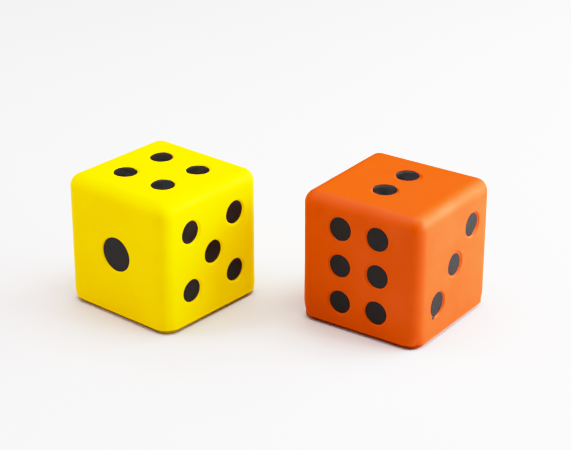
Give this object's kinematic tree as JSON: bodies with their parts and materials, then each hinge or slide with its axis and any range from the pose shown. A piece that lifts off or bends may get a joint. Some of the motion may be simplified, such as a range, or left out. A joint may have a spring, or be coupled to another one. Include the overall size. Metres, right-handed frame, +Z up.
{
  "type": "giant yard dice",
  "caption": "Pair of large soft foam dice with rounded edges, one yellow and one orange, with black painted spots in shallow recesses; one die rolls onto its next face.",
  "frame": {"origin": "centre of the pair's bounding box, on the surface that both dice stand on", "axes": "+X from the yellow die towards the orange die, +Y away from the front of the pair, +Z up"},
  "size_m": [0.2676, 0.1388, 0.089],
  "materials": {
    "yellow_coat": "satin",
    "orange_coat": "satin",
    "pip_paint": "satin",
    "yellow_foam": "matte",
    "orange_foam": "matte"
  },
  "bodies": {
    "yellow_die": {"yellow_foam_core": "yellow_foam", "yellow_skin": "yellow_coat", "yellow_base_skin": "yellow_coat", "yellow_four_pip_1": "pip_paint", "yellow_four_pip_2": "pip_paint", "yellow_four_pip_3": "pip_paint", "yellow_four_pip_4": "pip_paint", "yellow_three_pip_1": "pip_paint", "yellow_three_pip_2": "pip_paint", "yellow_three_pip_3": "pip_paint", "yellow_one_pip": "pip_paint", "yellow_six_pip_1": "pip_paint", "yellow_six_pip_2": "pip_paint", "yellow_six_pip_3": "pip_paint", "yellow_six_pip_4": "pip_paint", "yellow_six_pip_5": "pip_paint", "yellow_six_pip_6": "pip_paint", "yellow_five_pip_1": "pip_paint", "yellow_five_pip_2": "pip_paint", "yellow_five_pip_3": "pip_paint", "yellow_five_pip_4": "pip_paint", "yellow_five_pip_5": "pip_paint", "yellow_two_pip_1": "pip_paint", "yellow_two_pip_2": "pip_paint"},
    "orange_die": {"orange_foam_core": "orange_foam", "orange_skin": "orange_coat", "orange_base_skin": "orange_coat", "orange_two_pip_1": "pip_paint", "orange_two_pip_2": "pip_paint", "orange_five_pip_1": "pip_paint", "orange_five_pip_2": "pip_paint", "orange_five_pip_3": "pip_paint", "orange_five_pip_4": "pip_paint", "orange_five_pip_5": "pip_paint", "orange_six_pip_1": "pip_paint", "orange_six_pip_2": "pip_paint", "orange_six_pip_3": "pip_paint", "orange_six_pip_4": "pip_paint", "orange_six_pip_5": "pip_paint", "orange_six_pip_6": "pip_paint", "orange_one_pip": "pip_paint", "orange_three_pip_1": "pip_paint", "orange_three_pip_2": "pip_paint", "orange_three_pip_3": "pip_paint", "orange_four_pip_1": "pip_paint", "orange_four_pip_2": "pip_paint", "orange_four_pip_3": "pip_paint", "orange_four_pip_4": "pip_paint"}
  },
  "joints": [
    {"name": "orange_die_roll", "type": "hinge", "parent": "yellow_die", "child": "orange_die", "pos_m": [0.09921, 0.02303, 0.003], "axis": [-0.8171, 0.5764, 0], "range_deg": [0, 90]}
  ]
}
